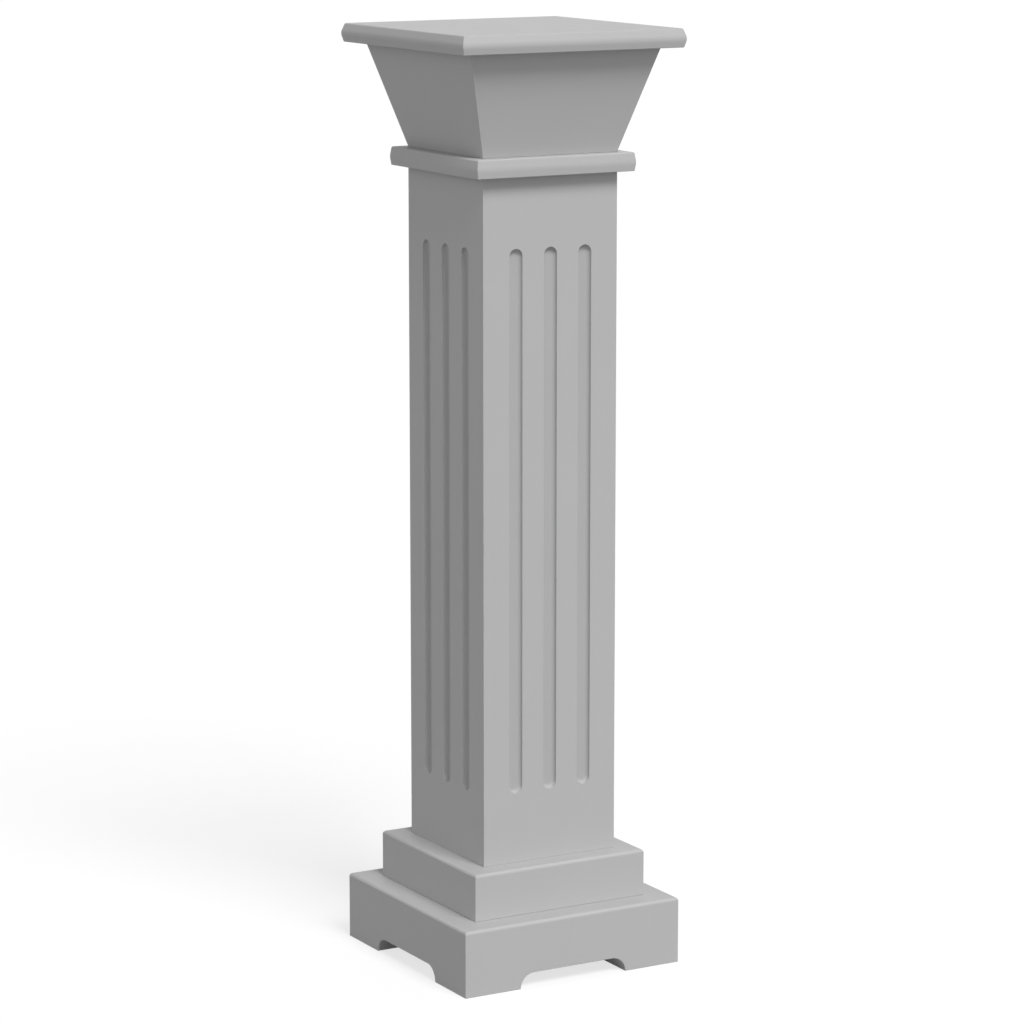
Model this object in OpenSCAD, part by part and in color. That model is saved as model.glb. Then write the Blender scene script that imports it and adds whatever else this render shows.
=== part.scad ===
// A square pillar in painted fibreboard: a fluted post between a footed base and a capital,
// with room for a plant pot on its top board. It stands on the floor at z = 0, centred on
// the z axis, and its four faces look along x and y.

/* [Overall] */
// Height from the floor to the top of the top board
pillar_h = 660; // [480:1:1000]

/* [Footed base] */
// Side of the square base block
base_w = 173; // [160:0.5:220]
// Height of the base block, feet included
base_h = 47.5; // [32:0.5:80]
// Side of each of the four square feet
foot_w = 44; // [30:0.5:55]
// Height of the arch between two feet
arch_rise = 10.7; // [6:0.1:16]

/* [Plinth step] */
// Side of the square step
step_w = 137; // [128:0.5:155]
// Height of the step
step_h = 33.5; // [15:0.5:60]

/* [Softened edges] */
// Radius on the top edges of the base and the step
soft_r = 2.5; // [1:0.1:5]

/* [Shaft] */
// Side of the square shaft
shaft_w = 106; // [90:0.5:110]

/* [Flutes] */
// Number of flutes on each face of the shaft
flute_count = 3; // [1:1:3]
// Width of one flute
flute_w = 10.2; // [5:0.1:15]
// Depth of a flute's flat bottom
flute_depth = 3; // [1:0.1:5]
// Radius between a flute's bottom and its walls
flute_corner_r = 2.9; // [0.5:0.1:4]
// Distance between the middles of two flutes
flute_pitch = 27.3; // [20:0.1:35]
// Plain wood between a flute's round end and the end of the shaft
flute_end_gap = 49.5; // [15:0.5:100]

/* [Collar board] */
// Side of the square collar board, over its rounded edges
collar_w = 125; // [116:0.5:150]
// Thickness of the collar board
collar_t = 13; // [9:0.5:25]

/* [Capital] */
// Side of the capital where it meets the top board
capital_top_w = 149; // [112:0.5:158]
// Height of the capital
capital_h = 72; // [30:0.5:120]

/* [Top board] */
// Side of the square top board, over its rounded edges
top_w = 174.5; // [165:0.5:230]
// Thickness of the top board
top_t = 13; // [9:0.5:25]

/* [Board edges] */
// Slope of the bevel under the top board's nose, in degrees from upright
top_under_slope = 15; // [4:1:22]
// Slope of the bevel over the top board's nose
top_over_slope = 19; // [4:1:24]
// Radius of the top board's nose
top_nose_r = 8; // [3:0.5:14]
// Slope of the bevels under and over the collar board's nose
collar_slope = 8; // [4:1:16]
// Radius of the collar board's nose
collar_nose_r = 14; // [3:0.5:18]
// Radius on the upper arris of both boards
arris_r = 1.2; // [0.5:0.1:2]

/* [Hidden] */
$fn = 96;

// Paint on every piece
paint = "#b6b6b6";

// Heights at which the pieces sit on each other
step_z = base_h;
shaft_z = step_z + step_h;
top_z = pillar_h - top_t;
capital_z = top_z - capital_h;
collar_z = capital_z - collar_t;
shaft_h = collar_z - shaft_z;

// The arches between the feet have quarter-round corners as high as the arch itself
arch_w = base_w - 2 * foot_w;

// The capital starts as wide as the shaft that carries it
capital_foot_w = shaft_w;

// A flute is cut by a flat cutter with rounded corners, and its ends are as round as that
cutter_corner_r = min(flute_corner_r, flute_depth);
flute_end_z = flute_end_gap + flute_w / 2;

// A board's nose stands a little below the middle of its thickness
nose_share = 0.46;

// Spare length by which a cut or a profile runs past the block it shapes
spare = 1;

// How far a round edge stands proud of the bevel that runs into it, so the two cross cleanly
tuck = 0.005;

// The body that a profile gives when it is run along x and along y, with mitred corners
module square_run(w) {
    intersection() {
        rotate([90, 0, 0])
            linear_extrude(height = w + 2 * spare, center = true)
                children();
        rotate([90, 0, 90])
            linear_extrude(height = w + 2 * spare, center = true)
                children();
    }
}

// Side view of a block whose two top corners are rounded
module soft_topped_profile(w, h, r) {
    for (side = [-1, 1])
        translate([side * (w / 2 - r), h - r])
            circle(r = r);
    translate([-w / 2, 0])
        square([w, h - r]);
    translate([-w / 2 + r, 0])
        square([w - 2 * r, h]);
}

// Side view of a board whose edges have a bevel under and over a round nose, and a rounded
// upper arris. The rounds are circles, and a polygon with the bevels runs a tuck inside them.
module nosed_profile(w, t, under, over, nose_r) {
    nose_z = t * nose_share;
    nose_x = w / 2 - nose_r;
    in_nose_r = nose_r - tuck;
    under_x = nose_x + in_nose_r * cos(under);
    under_z = nose_z - in_nose_r * sin(under);
    over_x = nose_x + in_nose_r * cos(over);
    over_z = nose_z + in_nose_r * sin(over);
    foot_x = under_x - under_z * tan(under);
    in_arris_r = arris_r - tuck;
    arris_z = t - arris_r;
    bevel_end_z = arris_z + in_arris_r * sin(over);
    bevel_end_x = over_x - (bevel_end_z - over_z) * tan(over);
    arris_x = bevel_end_x - in_arris_r * cos(over);
    for (side = [0, 1])
        mirror([side, 0]) {
            polygon([
                [0, 0],
                [foot_x, 0],
                [under_x, under_z],
                [over_x, over_z],
                [bevel_end_x, bevel_end_z],
                [arris_x, t],
                [0, t]
            ]);
            intersection() {
                translate([nose_x, nose_z])
                    circle(r = nose_r);
                translate([nose_x, under_z - spare])
                    square([2 * nose_r, over_z - under_z + 2 * spare]);
            }
            translate([arris_x, arris_z])
                circle(r = arris_r);
        }
}

// Side view of the arch between two feet
module arch_profile() {
    for (side = [-1, 1])
        intersection() {
            translate([side * (arch_w / 2 - arch_rise), 0])
                circle(r = arch_rise);
            translate([-arch_w / 2, 0])
                square([arch_w, arch_rise]);
        }
    translate([-arch_w / 2 + arch_rise, -spare])
        square([arch_w - 2 * arch_rise, arch_rise + spare]);
    translate([-arch_w / 2, -spare])
        square([arch_w, spare]);
}

// Half the cutter's side view: x is out from its axis and y is down into the wood
module cutter_half() {
    intersection() {
        union() {
            translate([0, -spare])
                square([flute_w / 2, spare + flute_depth - cutter_corner_r]);
            translate([0, -spare])
                square([flute_w / 2 - cutter_corner_r, spare + flute_depth]);
            translate([flute_w / 2 - cutter_corner_r, flute_depth - cutter_corner_r])
                circle(r = cutter_corner_r);
        }
        translate([0, -spare])
            square([flute_w / 2, spare + flute_depth]);
    }
}

// The path of the cutter along one flute, round at both ends
module flute_cut() {
    cut_h = shaft_h - 2 * flute_end_z;
    translate([0, 0, flute_end_z]) {
        linear_extrude(height = cut_h)
            for (side = [0, 1])
                mirror([side, 0])
                    cutter_half();
        for (end_z = [0, cut_h])
            translate([0, 0, end_z])
                rotate([-90, 0, 0])
                    rotate_extrude()
                        cutter_half();
    }
}

// The base block, cut away below so that it stands on four corner feet
module footed_base() {
    color(paint)
        difference() {
            square_run(base_w)
                soft_topped_profile(base_w, base_h, soft_r);
            for (turn = [0, 90])
                rotate([90, 0, turn])
                    linear_extrude(height = base_w + 2 * spare, center = true)
                        arch_profile();
        }
}

// The narrower block between the base and the shaft
module plinth_step() {
    color(paint)
        translate([0, 0, step_z])
            square_run(step_w)
                soft_topped_profile(step_w, step_h, soft_r);
}

// The square post with the same row of flutes on each face
module shaft() {
    first = -(flute_count - 1) / 2;
    color(paint)
        translate([0, 0, shaft_z])
            difference() {
                translate([-shaft_w / 2, -shaft_w / 2, 0])
                    cube([shaft_w, shaft_w, shaft_h]);
                for (face = [0:3], i = [0:flute_count - 1])
                    rotate([0, 0, 90 * face])
                        translate([(first + i) * flute_pitch, -shaft_w / 2, 0])
                            flute_cut();
            }
}

// The board between the shaft and the capital
module collar_board() {
    color(paint)
        translate([0, 0, collar_z])
            square_run(collar_w)
                nosed_profile(collar_w, collar_t, collar_slope, collar_slope, collar_nose_r);
}

// The solid block that widens from the collar to the top board
module capital() {
    color(paint)
        translate([0, 0, capital_z])
            square_run(capital_top_w)
                polygon([
                    [-capital_foot_w / 2, 0],
                    [capital_foot_w / 2, 0],
                    [capital_top_w / 2, capital_h],
                    [-capital_top_w / 2, capital_h]
                ]);
}

// The board that carries the pot
module top_board() {
    color(paint)
        translate([0, 0, top_z])
            square_run(top_w)
                nosed_profile(top_w, top_t, top_under_slope, top_over_slope, top_nose_r);
}

footed_base();
plinth_step();
shaft();
collar_board();
capital();
top_board();
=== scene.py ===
import math

import bmesh
import bpy
from mathutils import Matrix, Vector


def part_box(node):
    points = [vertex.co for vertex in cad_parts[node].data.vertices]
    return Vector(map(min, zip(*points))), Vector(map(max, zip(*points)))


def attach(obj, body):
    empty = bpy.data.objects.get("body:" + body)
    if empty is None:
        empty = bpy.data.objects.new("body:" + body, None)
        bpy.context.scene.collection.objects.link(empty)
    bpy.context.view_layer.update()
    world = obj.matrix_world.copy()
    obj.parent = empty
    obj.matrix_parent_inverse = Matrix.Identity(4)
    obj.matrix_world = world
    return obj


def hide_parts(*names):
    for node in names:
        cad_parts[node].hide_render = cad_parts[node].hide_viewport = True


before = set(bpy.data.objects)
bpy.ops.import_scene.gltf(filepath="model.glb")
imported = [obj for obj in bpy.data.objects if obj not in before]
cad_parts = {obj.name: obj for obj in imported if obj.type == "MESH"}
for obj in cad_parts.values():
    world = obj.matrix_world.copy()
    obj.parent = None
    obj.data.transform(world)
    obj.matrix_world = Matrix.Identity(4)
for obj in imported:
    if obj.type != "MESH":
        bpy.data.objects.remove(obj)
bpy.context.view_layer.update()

# A square pillar for a plant pot, made of primed fibreboard and sprayed pale grey.
# Everything is in metres, in the frame's own place: the floor is z = 0 and the pillar
# stands on the z axis. Heights and widths come from the frame, and the sizes below are
# only those that a node's box doesn't give.

MM = 0.001

# ---------------------------------------------------------------- sizes of the joinery

# Radius that the router left along the top of the base and the step
SOFT_EDGE = 2.5 * MM
# The boards' edges are planed to two bevels that meet in a rounded nose. The top board's
# bevels are steeper and its nose is tighter than the collar's.
TOP_SLOPES = (math.radians(15), math.radians(19))
TOP_NOSE_R = 8.0 * MM
COLLAR_SLOPES = (math.radians(8), math.radians(8))
COLLAR_NOSE_R = 14.0 * MM
# Height of the nose above a board's underside, as a share of the board's thickness
NOSE_SHARE = 0.46
# Radius on a board's upper arris, where a hand or a pot rubs
BOARD_ARRIS_R = 1.2 * MM

# Sanding takes the sharpness off the other arrises before the paint goes on, and less of it
# off the flutes' rims. Where one piece is glued to the next, that leaves a fine line.
ARRIS_EASE = 0.4 * MM
RIM_EASE_SHARE = 0.5
SHARPEST_UNEASED = math.radians(35)

# One foot's side, and the height of the arch between two feet
FOOT_W = 44.0 * MM
ARCH_RISE = 10.7 * MM

# Flutes: how many on a face, how wide and deep, how far apart, and how much plain wood
# is left above and below them
FLUTE_COUNT = 3
FLUTE_W = 10.2 * MM
FLUTE_DEPTH = 3.0 * MM
# Radius between a flute's flat bottom and its walls
FLUTE_CORNER_R = 2.9 * MM
FLUTE_PITCH = 27.3 * MM
FLUTE_END_GAP = 49.5 * MM

# Steps in which each rounded shape is drawn
ARC_STEPS = 14
ARRIS_STEPS = 6
EASE_STEPS = 3
FLUTE_RINGS = 12
FLUTE_END_STEPS = 32
# Corners nearer to each other than this are one corner
SAME_CORNER = 0.01 * MM
# How far a big flat face keeps its own shading beside an eased arris, out of 100
FLAT_SHADING = 90

# Material slots on each piece: sawn and sanded flats, and what the router cut
FLAT, FLUTED = 0, 1


# ---------------------------------------------------------------- small helpers

def height_and_half_width(node):
    """Floor height, top height and half the side of a square piece, from the frame."""
    low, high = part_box(node)
    return low.z, high.z, (high.x - low.x) / 2


def add_face(bm, outline, kind=FLAT):
    """A flat face with that outline."""
    face = bm.faces.new([bm.verts.new(point) for point in outline])
    face.material_index = kind


def square_corners(half, z):
    return [Vector((x * half, y * half, z)) for x, y in ((-1, -1), (1, -1), (1, 1), (-1, 1))]


def stack_squares(bm, levels):
    """Side walls through a stack of squares, each given as half its side and its height."""
    for low, high in zip(levels, levels[1:]):
        below, above = square_corners(*low), square_corners(*high)
        for i in range(4):
            j = (i + 1) % 4
            add_face(bm, (below[i], below[j], above[j], above[i]))


def turned(points, quarter):
    """The same points, turned that many quarters round the pillar."""
    spin = Matrix.Rotation(quarter * math.pi / 2, 3, "Z")
    return [spin @ Vector(point) for point in points]


def mark_arrises(bm):
    """Weights each arris by how far it is eased: a flute's rim less than the rest."""
    weight = bm.edges.layers.float.new("bevel_weight_edge")
    for edge in bm.edges:
        if edge.calc_face_angle(0.0) < SHARPEST_UNEASED:
            continue
        kinds = {face.material_index for face in edge.link_faces}
        edge[weight] = RIM_EASE_SHARE if FLUTED in kinds else 1.0


def finish_piece(name, bm):
    """Closes the mesh, eases its arrises, and hangs it in place of its frame node."""
    bmesh.ops.remove_doubles(bm, verts=bm.verts, dist=SAME_CORNER)
    bmesh.ops.recalc_face_normals(bm, faces=bm.faces)
    for face in bm.faces:
        face.smooth = True
    mark_arrises(bm)
    mesh = bpy.data.meshes.new(name)
    bm.to_mesh(mesh)
    bm.free()
    mesh.materials.append(SPRAYED_FLAT)
    if name == "shaft":
        mesh.materials.append(SPRAYED_FLUTE_PAINTED_SHADE)
    piece = bpy.data.objects.new(name, mesh)
    bpy.context.scene.collection.objects.link(piece)

    ease = piece.modifiers.new("eased_arrises", "BEVEL")
    ease.width = ARRIS_EASE
    ease.segments = EASE_STEPS
    ease.limit_method = "WEIGHT"
    even = piece.modifiers.new("flat_faces_stay_flat", "WEIGHTED_NORMAL")
    even.weight = FLAT_SHADING

    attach(piece, "root")
    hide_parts(name)


# ---------------------------------------------------------------- materials

def linear(hex_colour):
    """An sRGB hex colour as the linear colour that a shader takes."""
    def channel(byte):
        value = byte / 255
        return value / 12.92 if value <= 0.04045 else ((value + 0.055) / 1.055) ** 2.4
    return [channel(int(hex_colour[i:i + 2], 16)) for i in (1, 3, 5)] + [1.0]


def add_node(tree, kind, sockets=None, **settings):
    """Adds a node with those settings, and fills or links each named socket."""
    node = tree.nodes.new(kind)
    for setting, value in settings.items():
        setattr(node, setting, value)
    for socket, value in (sockets or {}).items():
        if isinstance(value, bpy.types.NodeSocket):
            tree.links.new(value, node.inputs[socket])
        else:
            node.inputs[socket].default_value = value
    return node


def sprayed_fibreboard(name, pale, deep, roughness, peel_height):
    """Satin acrylic sprayed on primed fibreboard: even, opaque and softly lit.

    The spray settles in droplets that leave a faint orange peel, and each pass lays the
    coat a little thicker or thinner, which shows as the slightest drift of tone.
    """
    drift_size = 70 * MM
    peel_size = 2.4 * MM
    # The noise keeps between these for the most part, and the sheen follows it by this much
    peel_low, peel_high = 0.3, 0.7
    sheen_change = 0.04
    paint = bpy.data.materials.new(name)
    paint.use_nodes = True
    tree = paint.node_tree
    tree.nodes.clear()
    place = add_node(tree, "ShaderNodeTexCoord").outputs["Object"]
    drift = add_node(
        tree, "ShaderNodeTexNoise",
        {"Vector": place, "Scale": 1 / drift_size, "Detail": 3.0, "Roughness": 0.55})
    peel = add_node(
        tree, "ShaderNodeTexNoise",
        {"Vector": place, "Scale": 1 / peel_size, "Detail": 2.0, "Roughness": 0.5})
    tone = add_node(
        tree, "ShaderNodeMix",
        {"Factor": drift.outputs["Fac"], "A": linear(deep), "B": linear(pale)},
        data_type="RGBA")
    sheen = add_node(
        tree, "ShaderNodeMapRange",
        {"Value": peel.outputs["Fac"], "From Min": peel_low, "From Max": peel_high,
         "To Min": roughness - sheen_change, "To Max": roughness + sheen_change})
    relief = add_node(
        tree, "ShaderNodeBump",
        {"Height": peel.outputs["Fac"], "Strength": 1.0, "Distance": peel_height})
    coat = add_node(
        tree, "ShaderNodeBsdfPrincipled",
        {"Base Color": tone.outputs["Result"], "Roughness": sheen.outputs["Result"],
         "Normal": relief.outputs["Normal"], "IOR": 1.46, "Specular IOR Level": 0.3})
    add_node(tree, "ShaderNodeOutputMaterial", {"Surface": coat.outputs["BSDF"]})
    return paint


# Sanded flats take the spray evenly and dry to a satin
SPRAYED_FLAT = sprayed_fibreboard(
    "sprayed_fibreboard_flat", "#b8b8b8", "#b4b4b4", roughness=0.62, peel_height=0.016 * MM)
# The core that the router opened drinks the paint, so it dries rougher and more matt. Its colour
# is a shade darker than the flats, which is painted shade for the shadow that gathers in the
# flutes
SPRAYED_FLUTE_PAINTED_SHADE = sprayed_fibreboard(
    "sprayed_fibreboard_flute_painted_shade", "#b3b3b3", "#afafaf", roughness=0.7, peel_height=0.024 * MM)


# ---------------------------------------------------------------- the six pieces

def make_stacked_block(node, levels):
    """A solid block through a stack of squares, closed at both ends."""
    bm = bmesh.new()
    stack_squares(bm, levels)
    for end in (levels[0], levels[-1]):
        add_face(bm, square_corners(*end))
    finish_piece(node, bm)


def nosed_levels(bottom, top, half, slopes, nose_r):
    """Levels up a board's edge: a bevel out to the round nose, one back in, and the arris."""
    under, over = slopes
    nose_z = bottom + NOSE_SHARE * (top - bottom)
    under_z = nose_z - nose_r * math.sin(under)
    over_z = nose_z + nose_r * math.sin(over)
    under_in = nose_r * (1 - math.cos(under)) + (under_z - bottom) * math.tan(under)
    levels = [(half - under_in, bottom)]
    for i in range(ARC_STEPS + 1):
        angle = (under + over) * i / ARC_STEPS - under
        levels.append((half - nose_r * (1 - math.cos(angle)), nose_z + nose_r * math.sin(angle)))
    arris_z = top - BOARD_ARRIS_R
    bevel_end_z = arris_z + BOARD_ARRIS_R * math.sin(over)
    bevel_end = levels[-1][0] - (bevel_end_z - over_z) * math.tan(over)
    arris_half = bevel_end - BOARD_ARRIS_R * math.cos(over)
    for i in range(ARRIS_STEPS + 1):
        angle = over + (math.pi / 2 - over) * i / ARRIS_STEPS
        levels.append((arris_half + BOARD_ARRIS_R * math.cos(angle),
                       arris_z + BOARD_ARRIS_R * math.sin(angle)))
    return levels


def make_board(node, slopes, nose_r):
    """A board with the same nosed edge on four sides, mitred at the corners."""
    make_stacked_block(node, nosed_levels(*height_and_half_width(node), slopes, nose_r))


def soft_topped_levels(start, top, half):
    """Levels up a wall and over its rounded top edge."""
    levels = [(half, start)]
    for i in range(ARC_STEPS + 1):
        angle = math.pi / 2 * i / ARC_STEPS
        levels.append((half - SOFT_EDGE * (1 - math.cos(angle)),
                       top - SOFT_EDGE * (1 - math.sin(angle))))
    return levels


def make_plinth_step():
    """The square block under the shaft, with a softened top edge."""
    make_stacked_block("plinth_step", soft_topped_levels(*height_and_half_width("plinth_step")))


def make_capital():
    """A block that widens upwards from the shaft's own width."""
    bottom, top, half = height_and_half_width("capital")
    foot_half = height_and_half_width("shaft")[2]
    make_stacked_block("capital", [(foot_half, bottom), (half, top)])


def arch_edge(floor):
    """Half the arch's outline, from the floor up its quarter-round corner: width, height."""
    foot_inner = height_and_half_width("footed_base")[2] - FOOT_W
    edge = []
    for i in range(ARC_STEPS + 1):
        angle = math.pi / 2 * i / ARC_STEPS
        edge.append((foot_inner - ARCH_RISE * (1 - math.cos(angle)),
                     floor + ARCH_RISE * math.sin(angle)))
    return edge


def make_footed_base():
    """The base block, cut away below from side to side both ways, so four feet are left."""
    bottom, top, half = height_and_half_width("footed_base")
    levels = soft_topped_levels(bottom, top, half)[1:]
    edge = arch_edge(bottom)
    foot_inner, crown = edge[0][0], edge[-1]
    bm = bmesh.new()
    stack_squares(bm, levels)
    add_face(bm, square_corners(*levels[-1]))
    wall_top = levels[0][1]
    for quarter in range(4):
        wall = [(-half, -half, wall_top), (-half, -half, bottom)]
        wall += [(-width, -half, z) for width, z in edge]
        wall += [(width, -half, z) for width, z in reversed(edge)]
        wall += [(half, -half, bottom), (half, -half, wall_top)]
        add_face(bm, turned(wall, quarter))
        foot = [(-half, -half, bottom), (-foot_inner, -half, bottom),
                (-foot_inner, -foot_inner, bottom), (-half, -foot_inner, bottom)]
        add_face(bm, turned(foot, quarter))
        for (low_w, low_z), (high_w, high_z) in zip(edge, edge[1:]):
            beside_x = [(-low_w, -half, low_z), (-low_w, -low_w, low_z),
                        (-high_w, -high_w, high_z), (-high_w, -half, high_z)]
            beside_y = [(-half, -low_w, low_z), (-low_w, -low_w, low_z),
                        (-high_w, -high_w, high_z), (-half, -high_w, high_z)]
            for strip in (beside_x, beside_y):
                add_face(bm, turned(strip, quarter))
    ceiling = []
    for quarter in range(4):
        width, z = crown
        ceiling += turned([(-width, -width, z), (-width, -half, z), (width, -half, z)], quarter)
    add_face(bm, ceiling)
    finish_piece("footed_base", bm)


def flute_rings():
    """Rings across one flute, from its middle to its rim: distance out, depth."""
    flat_out = FLUTE_W / 2 - FLUTE_CORNER_R
    rings = [(0.0, FLUTE_DEPTH)]
    for i in range(FLUTE_RINGS + 1):
        angle = math.pi / 2 * i / FLUTE_RINGS
        rings.append((flat_out + FLUTE_CORNER_R * math.sin(angle),
                      FLUTE_DEPTH - FLUTE_CORNER_R * (1 - math.cos(angle))))
    rings.append((FLUTE_W / 2, 0.0))
    return rings


def round_ended_loop(middle, low, high, reach, y):
    """A loop round a flute at one distance from its spine, with round ends."""
    loop = []
    for centre_z, start in ((high, 0), (low, math.pi)):
        for i in range(FLUTE_END_STEPS + 1):
            angle = start + math.pi * i / FLUTE_END_STEPS
            loop.append((middle + reach * math.cos(angle), y, centre_z + reach * math.sin(angle)))
    return loop


def panel_loop(left, right, bottom, top, low, high, y):
    """The border of the plain panel round a flute, with as many points as the flute's loop."""
    quarter = FLUTE_END_STEPS // 4
    loop = []
    for start_z, end_z, first_x, last_x in ((high, top, right, left), (low, bottom, left, right)):
        for i in range(quarter):
            loop.append((first_x, y, start_z + (end_z - start_z) * i / quarter))
        for i in range(2 * quarter + 1):
            loop.append((first_x + (last_x - first_x) * i / (2 * quarter), y, end_z))
        for i in range(quarter - 1, -1, -1):
            loop.append((last_x, y, start_z + (end_z - start_z) * i / quarter))
    return loop


def bridge(bm, inner, outer, kind, quarter):
    """Faces between two loops of as many points."""
    count = len(inner)
    for i in range(count):
        j = (i + 1) % count
        corners = turned((inner[i], outer[i], outer[j], inner[j]), quarter)
        distinct = [c for k, c in enumerate(corners) if (c - corners[k - 1]).length > SAME_CORNER]
        if len(distinct) > 2:
            add_face(bm, distinct, kind)


def make_shaft():
    """A square post with flutes run down each face by a flat-ended, round-cornered cutter."""
    bottom, top, half = height_and_half_width("shaft")
    low = bottom + FLUTE_END_GAP + FLUTE_W / 2
    high = top - FLUTE_END_GAP - FLUTE_W / 2
    bm = bmesh.new()
    for quarter in range(4):
        for i in range(FLUTE_COUNT):
            middle = (i - (FLUTE_COUNT - 1) / 2) * FLUTE_PITCH
            left = middle - FLUTE_PITCH / 2 if i > 0 else -half
            right = middle + FLUTE_PITCH / 2 if i < FLUTE_COUNT - 1 else half
            loops = [round_ended_loop(middle, low, high, out, -half + depth)
                     for out, depth in flute_rings()]
            for inner, outer in zip(loops, loops[1:]):
                bridge(bm, inner, outer, FLUTED, quarter)
            panel = panel_loop(left, right, bottom, top, low, high, -half)
            bridge(bm, loops[-1], panel, FLAT, quarter)
    bmesh.ops.remove_doubles(bm, verts=bm.verts, dist=SAME_CORNER)
    open_ends = [edge for edge in bm.edges if edge.is_boundary]
    bmesh.ops.holes_fill(bm, edges=open_ends, sides=0)
    finish_piece("shaft", bm)


make_footed_base()
make_plinth_step()
make_shaft()
make_board("collar_board", COLLAR_SLOPES, COLLAR_NOSE_R)
make_capital()
make_board("top_board", TOP_SLOPES, TOP_NOSE_R)


# ---------------------------------------------------------------- floor, light and camera

# The sky's strength level with the floor and straight above, and the key lamp's beside it
SKY_HORIZON = 1.0
SKY_ZENITH = 0.0
KEY_STRENGTH = 2.5
KEY_SPREAD = math.radians(26)
KEY_ELEVATION = math.radians(51)
KEY_AZIMUTH = math.radians(2)
# A weak lamp low behind, so that the back's two faces part from each other. It gives no
# glare, which would wash out the top.
FILL_STRENGTH = 0.35
FILL_SPREAD = math.radians(40)
FILL_ELEVATION = math.radians(10)
FILL_AZIMUTH = math.radians(160)

# The floor throws back this share of the light, and to the eye it also glows enough to
# read as white round the pillar's shadow
FLOOR_HALF = 40.0
FLOOR_ALBEDO = 0.3
FLOOR_SEEN_GLOW = 0.72

CAMERA_AZIMUTH = math.radians(-29.88)
CAMERA_DISTANCE = 2.6585
CAMERA_HEIGHT = 0.8164
CAMERA_AIM_HEIGHT = 0.3195
CAMERA_LENS = 135.0
CAMERA_SENSOR = 36.0


def seen_directly(tree):
    """1 for what the eye, a reflection or a see-through surface sees, and 0 for lighting."""
    path = add_node(tree, "ShaderNodeLightPath")
    with_gloss = add_node(
        tree, "ShaderNodeMath",
        {0: path.outputs["Is Camera Ray"], 1: path.outputs["Is Glossy Ray"]},
        operation="MAXIMUM")
    return add_node(
        tree, "ShaderNodeMath",
        {0: with_gloss.outputs[0], 1: path.outputs["Is Transmission Ray"]},
        operation="MAXIMUM").outputs[0]


def make_floor():
    """A plain pale studio floor that keeps the pillar's soft shadow."""
    bm = bmesh.new()
    add_face(bm, square_corners(FLOOR_HALF, 0.0))
    mesh = bpy.data.meshes.new("studio_floor")
    bm.to_mesh(mesh)
    bm.free()
    floor = bpy.data.objects.new("studio_floor", mesh)
    bpy.context.scene.collection.objects.link(floor)
    paper = bpy.data.materials.new("matt_white_backdrop_paper")
    paper.use_nodes = True
    tree = paper.node_tree
    tree.nodes.clear()
    lit = add_node(tree, "ShaderNodeBsdfDiffuse", {"Color": [FLOOR_ALBEDO] * 3 + [1.0]})
    glow = add_node(tree, "ShaderNodeEmission", {"Strength": FLOOR_SEEN_GLOW})
    lit_and_glowing = add_node(
        tree, "ShaderNodeAddShader",
        {0: lit.outputs["BSDF"], 1: glow.outputs["Emission"]})
    surface = add_node(
        tree, "ShaderNodeMixShader",
        {0: seen_directly(tree), 1: lit.outputs["BSDF"], 2: lit_and_glowing.outputs["Shader"]})
    add_node(tree, "ShaderNodeOutputMaterial", {"Surface": surface.outputs["Shader"]})
    mesh.materials.append(paper)


def make_sky():
    """White light from all round, fading to none straight above, on a pure white background."""
    world = bpy.data.worlds.new("white_studio")
    bpy.context.scene.world = world
    world.use_nodes = True
    tree = world.node_tree
    tree.nodes.clear()
    direction = add_node(tree, "ShaderNodeTexCoord").outputs["Generated"]
    height = add_node(tree, "ShaderNodeSeparateXYZ", {"Vector": direction}).outputs["Z"]
    lighting = add_node(
        tree, "ShaderNodeMapRange",
        {"Value": height, "To Min": SKY_HORIZON, "To Max": SKY_ZENITH})
    strength = add_node(
        tree, "ShaderNodeMapRange",
        {"Value": seen_directly(tree), "To Min": lighting.outputs["Result"], "To Max": 1.0})
    sky = add_node(
        tree, "ShaderNodeBackground",
        {"Color": [1.0, 1.0, 1.0, 1.0], "Strength": strength.outputs["Result"]})
    add_node(tree, "ShaderNodeOutputWorld", {"Surface": sky.outputs["Background"]})


def make_soft_lamp(name, strength, spread, elevation, azimuth, glare=True):
    """A broad soft lamp, aimed at the pillar from that height and that side of the front."""
    light = bpy.data.lights.new(name, "SUN")
    light.energy = strength
    light.angle = spread
    lamp = bpy.data.objects.new(name, light)
    bpy.context.scene.collection.objects.link(lamp)
    towards = Vector((math.sin(azimuth) * math.cos(elevation),
                      -math.cos(azimuth) * math.cos(elevation),
                      math.sin(elevation)))
    lamp.rotation_mode = "QUATERNION"
    lamp.rotation_quaternion = towards.to_track_quat("Z", "Y")
    lamp.visible_glossy = glare


def make_camera():
    """A long lens in front and to the left, a little above the pillar's top, aimed down."""
    lens = bpy.data.cameras.new("camera")
    lens.lens = CAMERA_LENS
    lens.sensor_width = CAMERA_SENSOR
    camera = bpy.data.objects.new("camera", lens)
    bpy.context.scene.collection.objects.link(camera)
    camera.location = (CAMERA_DISTANCE * math.sin(CAMERA_AZIMUTH),
                       -CAMERA_DISTANCE * math.cos(CAMERA_AZIMUTH),
                       CAMERA_HEIGHT)
    aim = Vector((0, 0, CAMERA_AIM_HEIGHT)) - camera.location
    camera.rotation_mode = "QUATERNION"
    camera.rotation_quaternion = aim.to_track_quat("-Z", "Y")
    bpy.context.scene.camera = camera


make_floor()
make_sky()
make_soft_lamp("key_lamp", KEY_STRENGTH, KEY_SPREAD, KEY_ELEVATION, KEY_AZIMUTH)
make_soft_lamp("fill_lamp", FILL_STRENGTH, FILL_SPREAD, FILL_ELEVATION, FILL_AZIMUTH, glare=False)
make_camera()
bpy.context.scene.view_settings.view_transform = "Standard"
